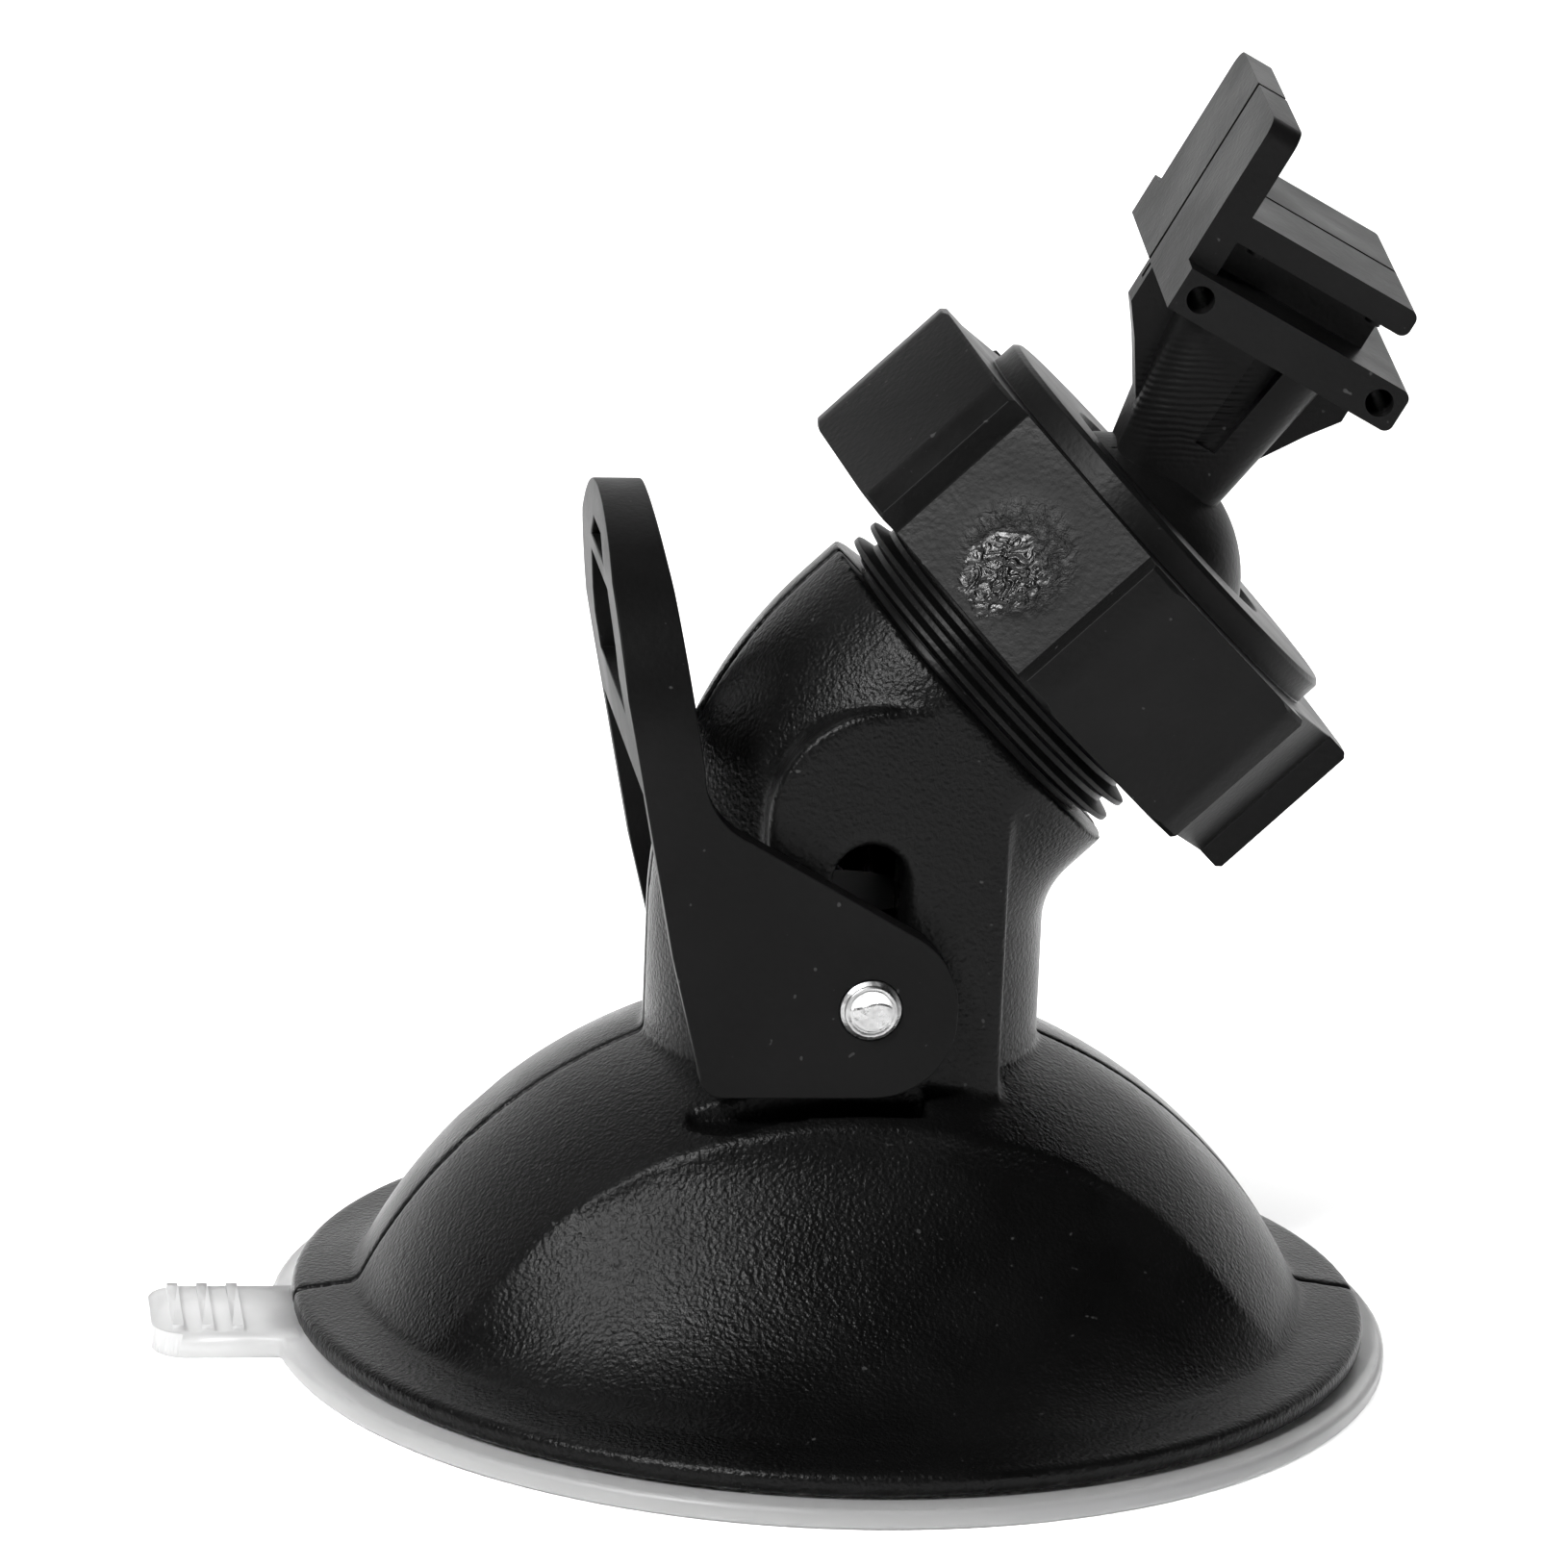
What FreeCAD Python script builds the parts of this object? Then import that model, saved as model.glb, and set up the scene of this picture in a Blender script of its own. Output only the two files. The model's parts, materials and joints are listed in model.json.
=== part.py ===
"""Windscreen mount with a lever-lock suction cup and a clamped ball head, as a parametric document.

Frame: millimetres, +Z up. The origin is the centre of the suction cup's contact plane. The two housing
halves meet on the plane Y = 0, the neck leans towards +X, and the lever's handle stands on the -X side.
"""
import FreeCAD, Part
import math
import os

import Sketcher

V = FreeCAD.Vector
doc = FreeCAD.newDocument("windscreen_mount")
sheet = doc.addObject("Spreadsheet::Sheet", "Sizes")

# ---------------------------------------------------------------- driving dimensions
SIZES = {
    # suction cup
    "cup_radius": 30.2, "cup_lip": 1.1, "cup_dish": 0.5, "cup_dish_radius": 21.0,
    "cup_hub_radius": 17.2, "cup_hub_top": 3.0, "cup_wrap_top": 4.3, "cup_edge_round": 0.35,
    "tab_reach": 36.65, "tab_width": 7.8, "tab_tip_width": 6.2, "tab_thick": 1.35, "tab_root": 27.0,
    "ridge_pitch": 1.6, "ridge_width": 0.6, "ridge_rise": 0.35, "ridge_first": 32.4,
    # housing
    "rim_radius": 29.0, "rim_bottom": 1.24, "rim_top": 2.6, "rim_round": 0.45,
    "foot_radius": 25.6, "foot_height": 3.05, "dome_arc": 28.2, "dome_top_radius": 10.6,
    "dome_top": 17.25, "wall": 1.8, "ceiling": 14.6, "ceiling_radius": 12.0,
    "neck_radius": 10.6, "neck_flat": 10.1, "bend_radius": 14.5, "elbow_angle": 46.25,
    "elbow_corner": 30.3, "elbow_length": 8.6,
    "facet_radius": 6.4, "facet_height": 31.3, "facet_offset": 0.9,
    "post_bore": 4.6, "post_bore_top": 30.6, "slot_width": 4.0, "slot_top": 30.4, "slot_bottom": 18.4,
    "pocket_floor": 15.2, "pocket_left": 9.2, "pocket_right": 3.2, "pocket_gap": 0.3, "seam_gap": 0.14,
    "boss_radius": 2.5, "boss_spread": 17.2, "boss_height": 9.6,
    "neck_screw_offset": 6.3, "neck_screw_height": 30.6,
    "screw_radius": 1.0, "screw_head_radius": 1.8, "screw_head": 1.2, "screw_length": 10.0,
    "screw_seat": 5.2, "screw_hole": 1.05, "screw_head_hole": 2.0,
    "arch_depth": 13.1, "hollow_low": 21.2, "hollow_middle": 16.8, "hollow_high": 14.0,
    # ball socket, seat, ring and nut, measured along the nut axis from the elbow corner
    "socket_bottom": 3.4, "socket_radius": 8.3, "flange_radius": 9.2, "flange_low": 4.4, "flange_high": 6.4,
    "thread_start": 8.9, "thread_root": 9.0, "thread_crest": 9.95, "thread_pitch": 1.15,
    "socket_top": 16.6, "socket_bore": 8.2, "socket_floor": 9.3, "fit_gap": 0.1,
    "ball_height": 17.75, "ball_radius": 7.6, "seat_top": 14.6,
    "ring_low": 18.9, "ring_high": 21.8, "ring_radius": 8.9,
    "nut_low": 12.0, "nut_high": 21.2, "nut_corner": 16.15, "nut_flat": 15.4, "nut_recess": 14.7,
    "nut_recess_angle": 40.0, "nut_flare": 0.06, "nut_turn": 12.7,
    "nut_bore": 10.1, "nut_bore_top": 17.6, "nut_roof": 21.9,
    "collar_radius": 12.1, "collar_top": 22.75, "collar_hole": 6.8, "collar_mouth": 7.1, "nut_bevel": 0.25,
    # ball bracket, measured along its stem from the ball's centre
    "stem_tilt": 28.5, "stem_lean": 3.7, "stem_twist": -2.1,
    "stem_low": 5.4, "waist_height": 6.6, "waist_x": 3.1, "waist_y": 2.9,
    "neck_top_x": 4.6, "neck_top_y": 4.3, "panel_depth": 1.44, "panel_low": 9.4,
    "gusset_thick": 1.8, "gusset_reach": 6.55, "gusset_low": 8.4,
    "gusset_high": 13.8, "plate_bottom": 16.06, "plate_top": 18.47, "plate_x": 6.73, "plate_y": 9.93,
    "hole_radius": 0.74, "hole_spread": 5.45, "web_x": 4.2, "web_y": 5.4, "tee_bottom": 20.5,
    "tee_top": 22.0, "tee_x": 5.25, "tee_y": 8.09, "upright_thick": 1.7, "upright_top": 26.97,
    "slit_width": 0.45, "slit_groove": 0.5, "nub_radius": 0.45, "nub_drop": 0.35, "nub_spread": 3.6,
    "bracket_round": 0.5,
    # pull post, pin, spring and lever
    "disc_radius": 14.4, "disc_thick": 1.9, "post_radius": 4.5, "post_top": 25.0, "pin_height": 22.05,
    "pin_radius": 1.6, "pin_length": 24.7, "pin_bevel": 0.3, "pin_hole": 1.64,
    "washer_thick": 0.8, "washer_radius": 8.6, "washer_hole": 4.9,
    "spring_radius": 7.3, "spring_wire": 1.1, "spring_turns": 3.0,
    "lever_half": 12.0, "lever_inner": 10.4, "cam_drop": 4.85, "cam_round": 1.2, "cam_left": 7.85,
    "arm_nose": 4.6, "handle_top": 47.25, "rail_thick": 2.3, "band_low": 33.2, "band_high": 36.6,
    "window_top": 42.6, "bar_top": 43.7, "eye_top": 45.0, "web_thick": 1.3,
}
PAST = 1.0  # how far a cutter runs past the face it cuts
SINK = 0.1  # how far a solid sinks into the one it is fused to
HAIR = 0.02  # least gap between pieces that would touch
for row, (name, value) in enumerate(SIZES.items(), start=1):
    sheet.set(f"A{row}", name)
    sheet.set(f"B{row}", str(value))
    sheet.setAlias(f"B{row}", name)
doc.recompute()


class Size:
    """A length of the sheet, or one worked out from several: its value and the expression that gives it."""

    def __init__(self, value, text):
        self.value = value
        self.text = text

    def join(self, other, sign, value):
        text = other.text if isinstance(other, Size) else f"{other}"
        return Size(value, f"({self.text} {sign} {text})")

    def __add__(self, other):
        return self.join(other, "+", self.value + number(other))

    def __sub__(self, other):
        return self.join(other, "-", self.value - number(other))

    def __mul__(self, other):
        return self.join(other, "*", self.value * number(other))

    def __truediv__(self, other):
        return self.join(other, "/", self.value / number(other))

    def __neg__(self):
        return Size(-self.value, f"(0 - {self.text})")


def number(size):
    return size.value if isinstance(size, Size) else size


def size(name):
    return Size(SIZES[name], f"Sizes.{name}")


ZERO = Size(0.0, "0")


def fixed(value):
    """A number of one outline only, kept as a plain constant."""
    return Size(value, f"{value}")


def bind(target, **values):
    """Bind properties of an object to the sheet; x, y and z are the base of its placement."""
    for name, value in values.items():
        path = f"Placement.Base.{name}" if name in ("x", "y", "z") else name
        target.setExpression(path, value.text if isinstance(value, Size) else f"{value}")
    return target


# ---------------------------------------------------------------- sketches and bodies
def origin_plane(body, role):
    return next(f for f in body.Origin.OriginFeatures if f.Role == role)


def arc_between(start, end, radius):
    """Arc of the given radius from start to end; a positive radius bends to the left."""
    chord = end - start
    middle = (start + end) * 0.5
    left = V(-chord.y, chord.x, 0).normalize()
    rise = math.sqrt(max(radius * radius - chord.Length ** 2 / 4, 0))
    centre = middle + left * (rise if radius > 0 else -rise)
    first, last = (start, end) if radius > 0 else (end, start)
    angles = [math.atan2(p.y - centre.y, p.x - centre.x) for p in (first, last)]
    if angles[1] < angles[0]:
        angles[1] += 2 * math.pi
    return Part.ArcOfCircle(Part.Circle(centre, V(0, 0, 1), abs(radius)), angles[0], angles[1])


def closed_outline(sketch, points):
    """Lines and arcs through points (x, y) or (x, y, radius of the arc that arrives there)."""
    count = len(points)
    ends = []
    for i in range(count):
        here = V(number(points[i][0]), number(points[i][1]), 0)
        there_size = points[(i + 1) % count]
        there = V(number(there_size[0]), number(there_size[1]), 0)
        if len(there_size) == 3:
            radius = there_size[2]
            sketch.addGeometry(arc_between(here, there, number(radius)), False)
            ends.append((1, 2) if number(radius) > 0 else (2, 1))
        else:
            sketch.addGeometry(Part.LineSegment(here, there), False)
            ends.append((1, 2))
    for i in range(count):
        after = (i + 1) % count
        sketch.addConstraint(Sketcher.Constraint("Coincident", i, ends[i][1], after, ends[after][0]))
    for i, point in enumerate(points):
        for kind, value in (("DistanceX", point[0]), ("DistanceY", point[1])):
            constraint = Sketcher.Constraint(kind, -1, 1, i, ends[i][0], number(value))
            index = sketch.addConstraint(constraint)
            if isinstance(value, Size):
                sketch.setExpression(f"Constraints[{index}]", value.text)
        if len(point) == 3:
            radius = point[2] if number(point[2]) > 0 else -point[2]
            index = sketch.addConstraint(Sketcher.Constraint("Radius", (i - 1) % count, number(radius)))
            if isinstance(radius, Size):
                sketch.setExpression(f"Constraints[{index}]", radius.text)


def new_sketch(body, role, points, name="outline"):
    sketch = body.newObject("Sketcher::SketchObject", f"{body.Name}_{name}")
    sketch.AttachmentSupport = [(origin_plane(body, role), "")]
    sketch.MapMode = "FlatFace"
    closed_outline(sketch, points)
    return sketch


def revolved(label, points):
    """Body of revolution about Z; points are (radius, height)."""
    body = doc.addObject("PartDesign::Body", label)
    sketch = new_sketch(body, "XZ_Plane", points)
    turn = body.newObject("PartDesign::Revolution", f"{label}_turn")
    turn.Profile = sketch
    turn.ReferenceAxis = (sketch, ["V_Axis"])
    turn.Angle = 360
    return body


def padded(label, role, points, length):
    """Body padded to both sides of an origin plane."""
    body = doc.addObject("PartDesign::Body", label)
    sketch = new_sketch(body, role, points)
    pad = body.newObject("PartDesign::Pad", f"{label}_pad")
    pad.Profile = sketch
    pad.Midplane = True
    bind(pad, Length=length)
    return body


# ---------------------------------------------------------------- primitives and booleans
UPRIGHT = FreeCAD.Rotation()
ALONG_X = FreeCAD.Rotation(V(0, 1, 0), 90)
ALONG_Y = FreeCAD.Rotation(V(1, 0, 0), -90)


def cylinder(name, radius, height, turn=UPRIGHT, x=ZERO, y=ZERO, z=ZERO):
    solid = doc.addObject("Part::Cylinder", name)
    solid.Placement = FreeCAD.Placement(V(), turn)
    return bind(solid, Radius=radius, Height=height, x=x, y=y, z=z)


def box(name, low, high):
    """Box between two corners given as three sizes each."""
    solid = doc.addObject("Part::Box", name)
    length, width, height = (b - a for a, b in zip(low, high))
    return bind(solid, Length=length, Width=width, Height=height, x=low[0], y=low[1], z=low[2])


def fuse(name, shapes):
    solid = doc.addObject("Part::MultiFuse", name)
    solid.Shapes = shapes
    solid.Refine = True
    return solid


def cut(name, base, tools):
    solid = doc.addObject("Part::Cut", name)
    solid.Base = base
    solid.Tool = tools[0] if len(tools) == 1 else fuse(f"{name}_tools", tools)
    solid.Refine = True
    return solid


def common(name, first, second):
    solid = doc.addObject("Part::MultiCommon", name)
    solid.Shapes = [first, second]
    solid.Refine = True
    return solid


def rounded(name, base, radius, choose):
    """Part fillet on the edges that the test picks."""
    doc.recompute()
    solid = doc.addObject("Part::Fillet", name)
    solid.Base = base
    picked = [i for i, edge in enumerate(base.Shape.Edges, start=1) if choose(edge)]
    solid.Edges = [(i, number(radius), number(radius)) for i in picked]
    return solid


# ---------------------------------------------------------------- suction cup and its pull
def suction_cup():
    lip = size("cup_lip")
    edge = size("cup_edge_round")
    disc = revolved("cup_disc", [
        (ZERO, size("cup_dish")),
        (size("cup_dish_radius"), ZERO),
        (size("cup_radius") - edge, ZERO),
        (size("cup_radius"), edge, edge),
        (size("cup_radius"), lip - edge),
        (size("cup_radius") - edge, lip, edge),
        (size("cup_hub_radius") + 2, lip),
        (size("cup_hub_radius"), size("cup_wrap_top")),
        (size("disc_radius") + size("fit_gap"), size("cup_wrap_top")),
        (size("disc_radius") + size("fit_gap"), size("cup_hub_top")),
        (ZERO, size("cup_hub_top")),
    ])
    half = size("tab_width") / 2
    tip = size("tab_tip_width") / 2
    root = -size("tab_root")
    end = -size("tab_reach")
    tab = doc.addObject("PartDesign::Body", "cup_tab")
    sketch = new_sketch(tab, "XY_Plane", [
        (root, half),
        (end + 1.6, half),
        (end, tip - 1, size("tab_width") / 4),
        (end, -(tip - 1)),
        (end + 1.6, -half, size("tab_width") / 4),
        (root, -half),
    ])
    pad = tab.newObject("PartDesign::Pad", "cup_tab_pad")
    pad.Profile = sketch
    bind(pad, Length=size("tab_thick"))
    ridges = []
    for i in range(3):
        start = -(size("ridge_first") + size("ridge_pitch") * i)
        low = (start, -(half - 0.5), ZERO)
        high = (start + size("ridge_width"), half - 0.5, size("tab_thick") + size("ridge_rise"))
        ridges.append(box(f"tab_ridge_{i}", low, high))
    clear = cylinder("rim_over_tab", size("rim_radius") + 0.12, size("wall"), z=lip)
    hub = cylinder("hub_inside_tab", size("cup_hub_radius") + 3, size("wall") * 3, z=-size("wall"))
    trimmed = cut("trimmed_tab", tab, [clear, hub])
    return fuse("suction_cup", [disc, trimmed] + ridges)


def pull_post():
    top = size("cup_hub_top") + size("disc_thick")
    turned = revolved("post_turning", [
        (ZERO, size("cup_hub_top")),
        (size("disc_radius"), size("cup_hub_top")),
        (size("disc_radius"), top),
        (size("post_radius") + 1.2, top),
        (size("post_radius"), top + 1.2, -Size(1.2, "1.2")),
        (size("post_radius"), size("post_top") - 0.6),
        (size("post_radius") - 0.6, size("post_top")),
        (ZERO, size("post_top")),
    ])
    hole = cylinder("post_cross_hole", size("pin_radius"), size("post_radius") * 3, ALONG_Y,
                    y=-(size("post_radius") * 1.5), z=size("pin_height"))
    return cut("pull_post", turned, [hole])


def lever_pin():
    half = size("pin_length") / 2
    bevel = size("pin_bevel")
    pin = revolved("lever_pin", [
        (ZERO, -half),
        (size("pin_radius") - bevel, -half),
        (size("pin_radius"), -half + bevel),
        (size("pin_radius"), half - bevel),
        (size("pin_radius") - bevel, half),
        (ZERO, half),
    ])
    pin.Placement = FreeCAD.Placement(V(), ALONG_Y)
    return bind(pin, z=size("pin_height"))


def spring_washer():
    low = size("ceiling") - size("washer_thick")
    return revolved("spring_washer", [
        (size("washer_hole"), low),
        (size("washer_radius"), low),
        (size("washer_radius"), size("ceiling")),
        (size("washer_hole"), size("ceiling")),
    ])


def return_spring():
    """Compression spring whose end turns lie almost flat on the disc and under the washer."""
    wire = SIZES["spring_wire"]
    low = SIZES["cup_hub_top"] + SIZES["disc_thick"] + wire / 2 + HAIR
    high = SIZES["ceiling"] - SIZES["washer_thick"] - wire / 2 - HAIR
    pitch = (high - low) / SIZES["spring_turns"]
    helix = Part.makeHelix(pitch, high - low, SIZES["spring_radius"])
    helix.translate(V(0, 0, low))
    section = Part.makeCircle(wire / 2, V(SIZES["spring_radius"], 0, low), V(0, 1, 0))
    coil = Part.Wire(helix.Edges).makePipeShell([Part.Wire([section])], True, True)
    spring = doc.addObject("Part::Feature", "return_spring")
    spring.Shape = coil
    return spring


# ---------------------------------------------------------------- housing
def dome_body():
    """Rim and dome, turned in one, with the cavity for the cup's hub and the spring."""
    rounding = size("rim_round")
    outer = revolved("dome_outer", [
        (ZERO, size("rim_bottom")),
        (size("rim_radius") - rounding, size("rim_bottom")),
        (size("rim_radius"), size("rim_bottom") + rounding, rounding),
        (size("rim_radius"), size("rim_top") - rounding),
        (size("rim_radius") - rounding, size("rim_top"), rounding),
        (size("foot_radius"), size("foot_height")),
        (size("dome_top_radius"), size("dome_top"), size("dome_arc")),
        (ZERO, size("dome_top")),
    ])
    inner = revolved("dome_cavity", [
        (ZERO, size("rim_bottom") - 1),
        (size("foot_radius") - size("wall"), size("rim_bottom") - 1),
        (size("foot_radius") - size("wall"), size("foot_height")),
        (size("ceiling_radius"), size("ceiling"), size("dome_arc") - size("wall")),
        (ZERO, size("ceiling")),
    ])
    return outer, inner


def dome_reach(height):
    """Radius of the dome's outside at a height."""
    foot = V(SIZES["foot_radius"], SIZES["foot_height"], 0)
    top = V(SIZES["dome_top_radius"], SIZES["dome_top"], 0)
    centre = arc_between(foot, top, SIZES["dome_arc"]).Center
    return centre.x + math.sqrt(SIZES["dome_arc"] ** 2 - (height - centre.y) ** 2)


def hollow(name, side, inset=0.0):
    """Tool that hollows one face of the dome below an arched edge; side is -1 in front, 1 behind."""
    depth = SIZES["arch_depth"]
    foot = SIZES["foot_height"]
    stations = [
        (foot, SIZES["foot_radius"] + SINK),
        (5.4, SIZES["hollow_low"]),
        (10.0, SIZES["hollow_middle"]),
        (14.0, SIZES["hollow_high"]),
        (SIZES["dome_top"] + 0.5, depth + SINK),
    ]
    wires = []
    for height, middle in stations:
        reach = dome_reach(height) if height < 15 else depth + 1
        edge = depth - 0.4 if height > foot else depth - 1.6
        half = math.sqrt(reach ** 2 - edge ** 2)
        left = V(-half, side * (edge - inset), height)
        right = V(half, side * (edge - inset), height)
        arc = Part.Arc(left, V(0, side * (middle - inset), height), right).toShape()
        far = 2 * SIZES["foot_radius"]
        corners = [right, V(half, side * far, height), V(-half, side * far, height), left]
        wires.append(Part.Wire([arc] + [Part.makeLine(a, b) for a, b in zip(corners, corners[1:])]))
    tool = doc.addObject("Part::Feature", name)
    tool.Shape = Part.makeLoft(wires, True, False)
    return tool


def elbow_tube(name, radius, start, length):
    """Neck that rises along Z, bends towards +X and runs on along the nut axis."""
    angle = math.radians(SIZES["elbow_angle"])
    tangent = SIZES["bend_radius"] * math.tan(angle / 2)
    corner = V(0, 0, SIZES["elbow_corner"])
    axis = V(math.sin(angle), 0, math.cos(angle))
    bottom = V(0, 0, start)
    bend_start = corner - V(0, 0, tangent)
    bend_end = corner + axis * tangent
    centre = bend_start + V(SIZES["bend_radius"], 0, 0)
    half = V(-math.cos(angle / 2), 0, math.sin(angle / 2)) * SIZES["bend_radius"]
    path = Part.Wire([
        Part.makeLine(bottom, bend_start),
        Part.Arc(bend_start, centre + half, bend_end).toShape(),
        Part.makeLine(bend_end, corner + axis * length),
    ])
    tube = doc.addObject("Part::Feature", name)
    tube.Shape = path.makePipeShell([Part.Wire([Part.makeCircle(radius, bottom)])], True, False)
    return tube


def facet():
    """Flat guide face on each side of the neck, round at its top, where the lever's arms run."""
    r = size("facet_radius")
    x = size("facet_offset")
    z = size("facet_height")
    low = size("ceiling")
    return padded("guide_facet", "XZ_Plane", [
        (x - r, low),
        (x + r, low),
        (x + r, z),
        (x, z + r, r),
        (x - r, z, r),
    ], size("neck_flat") * 2)


def on_nut_axis(solid):
    """Place something modelled along Z so that it stands on the nut axis."""
    solid.Placement = FreeCAD.Placement(V(), FreeCAD.Rotation(V(0, 1, 0), SIZES["elbow_angle"]))
    solid.setExpression("Placement.Rotation.Angle", "Sizes.elbow_angle")
    return bind(solid, z=size("elbow_corner"))


def socket_cavity():
    """Bore and retaining groove that hold the ball socket between the two halves."""
    gap = size("fit_gap")
    return on_nut_axis(revolved("socket_cavity", [
        (ZERO, size("socket_bottom") - gap),
        (size("socket_radius") + gap, size("socket_bottom") - gap),
        (size("socket_radius") + gap, size("flange_low") - gap),
        (size("flange_radius") + gap, size("flange_low") - gap),
        (size("flange_radius") + gap, size("flange_high") + gap),
        (size("socket_radius") + gap, size("flange_high") + gap),
        (size("socket_radius") + gap, size("elbow_length") + PAST),
        (ZERO, size("elbow_length") + PAST),
    ]))


def screw_places():
    spread = size("boss_spread")
    low = size("boss_height")
    return [(spread, low), (-spread, low), (-size("neck_screw_offset"), size("neck_screw_height"))]


def housing():
    outer, inner = dome_body()
    faces = ((-1, "front"), (1, "rear"))
    wall = SIZES["wall"]
    hollowed = cut("dome_hollowed", outer, [hollow(f"hollow_{name}", side) for side, name in faces])
    cavity = cut("dome_hollow_inside", inner, [hollow(f"inset_{name}", side, wall) for side, name in faces])
    tube = elbow_tube("elbow_outer", SIZES["neck_radius"], SIZES["ceiling"], SIZES["elbow_length"])
    flats = [box("neck_side_front", (-size("rim_radius"), -size("rim_radius"), size("dome_top") + PAST),
                 (size("rim_radius"), -size("neck_flat"), size("facet_height") + 8)),
             box("neck_side_rear", (-size("rim_radius"), size("neck_flat"), size("dome_top") + PAST),
                 (size("rim_radius"), size("rim_radius"), size("facet_height") + 8))]
    neck = cut("neck_flatted", fuse("neck", [tube, facet()]), flats)
    shell = cut("dome_shell", hollowed, [cavity])
    posts = [cylinder(f"screw_boss_{i}", size("boss_radius"), size("foot_radius") * 2, ALONG_Y,
                      x=x, y=-size("foot_radius"), z=z) for i, (x, z) in enumerate(screw_places()[:2])]
    bosses = common("screw_bosses", fuse("screw_boss_posts", posts), hollowed)
    solid = fuse("housing_solid", [shell, neck, bosses])
    slot_half = size("slot_width") / 2
    reach = size("rim_radius")
    tools = [
        cylinder("post_bore_cut", size("post_bore"), size("post_bore_top") - size("ceiling") + PAST,
                 z=size("ceiling") - 1),
        box("slot_cut", (-slot_half, -reach, size("slot_bottom")),
            (slot_half, reach, size("slot_top") - slot_half)),
        cylinder("slot_round", slot_half, reach * 2, ALONG_Y, y=-reach, z=size("slot_top") - slot_half),
        socket_cavity(),
    ]
    inner = size("neck_flat")
    outer = size("lever_half") + size("pocket_gap")
    for i, (low_y, high_y) in enumerate(((-outer, -inner), (inner, outer))):
        tools.append(box(f"lever_pocket_{i}", (-size("pocket_left"), low_y, size("pocket_floor")),
                         (size("pocket_right"), high_y, size("dome_top") + PAST)))
    for i, (x, z) in enumerate(screw_places()):
        tools.append(cylinder(f"screw_hole_{i}", size("screw_hole"), size("screw_length") + PAST, ALONG_Y,
                              x=x, y=size("screw_seat") - size("screw_length"), z=z))
        tools.append(cylinder(f"screw_head_hole_{i}", size("screw_head_hole"), reach, ALONG_Y,
                              x=x, y=size("screw_seat"), z=z))
    return cut("housing_whole", solid, tools)


def housing_half(label, whole, side):
    """One half of the housing; the seam leaves a fine gap between them."""
    reach = size("rim_radius") * 2
    gap = size("seam_gap") / 2
    low_y, high_y = (-reach, -gap) if side < 0 else (gap, reach)
    keep = box(f"{label}_side", (-reach, low_y, ZERO), (reach, high_y, reach))
    return common(label, whole, keep)


def housing_screws():
    """Three thread-forming screws driven from behind, each a solid of its own."""
    screws = []
    for i, (x, z) in enumerate(screw_places()):
        seat = size("screw_seat")
        shank = cylinder(f"screw_shank_{i}", size("screw_radius"), size("screw_length"), ALONG_Y,
                         x=x, y=seat - size("screw_length") + 0.5, z=z)
        head = cylinder(f"screw_head_{i}", size("screw_head_radius"), size("screw_head"), ALONG_Y,
                        x=x, y=seat + HAIR, z=z)
        drive = cylinder(f"screw_recess_{i}", size("screw_radius") * 0.6, size("screw_head"), ALONG_Y,
                         x=x, y=seat + size("screw_head") / 2, z=z)
        screws.append(cut(f"screw_{i}", fuse(f"screw_blank_{i}", [shank, head]), [drive]))
    group = doc.addObject("Part::Compound", "housing_screws")
    group.Links = screws
    return group


# ---------------------------------------------------------------- ball clamp
def ball_socket():
    """Threaded cup held between the housing halves; its thread is modelled as rings."""
    points = [
        (ZERO, size("socket_bottom")),
        (size("socket_radius"), size("socket_bottom")),
        (size("socket_radius"), size("flange_low")),
        (size("flange_radius"), size("flange_low")),
        (size("flange_radius"), size("flange_high")),
        (size("socket_radius"), size("flange_high")),
        (size("socket_radius"), size("thread_start")),
        (size("thread_root"), size("thread_start")),
    ]
    pitch = size("thread_pitch")
    turns = int((SIZES["socket_top"] - SIZES["thread_start"]) / SIZES["thread_pitch"])
    for i in range(turns):
        low = size("thread_start") + pitch * (i + 0.1)
        points += [
            (size("thread_root"), low),
            (size("thread_crest"), low + pitch * 0.22),
            (size("thread_crest"), low + pitch * 0.48),
            (size("thread_root"), low + pitch * 0.7),
        ]
    points += [
        (size("thread_root"), size("socket_top")),
        (size("socket_bore"), size("socket_top")),
        (size("socket_bore"), size("socket_floor")),
        (ZERO, size("socket_floor")),
    ]
    return on_nut_axis(revolved("ball_socket", points))


def at_ball(height, gap):
    """Radius of the ball, grown by a gap, at a height on the nut axis."""
    reach = SIZES["ball_radius"] + gap
    rise = SIZES["ball_height"] - height
    text = f"sqrt((Sizes.ball_radius + {gap})^2 - (Sizes.ball_height - ({height}))^2)"
    return Size(math.sqrt(reach ** 2 - rise ** 2), text)


def ball_seat():
    """Soft friction cup under the ball."""
    gap = size("fit_gap")
    cup_radius = size("ball_radius") + gap / 2
    return on_nut_axis(revolved("ball_seat", [
        (ZERO, size("socket_floor")),
        (size("socket_bore") - gap / 2, size("socket_floor")),
        (size("socket_bore") - gap / 2, size("seat_top")),
        (at_ball(SIZES["seat_top"], SIZES["fit_gap"] / 2), size("seat_top")),
        (ZERO, size("ball_height") - cup_radius, -cup_radius),
    ]))


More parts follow.
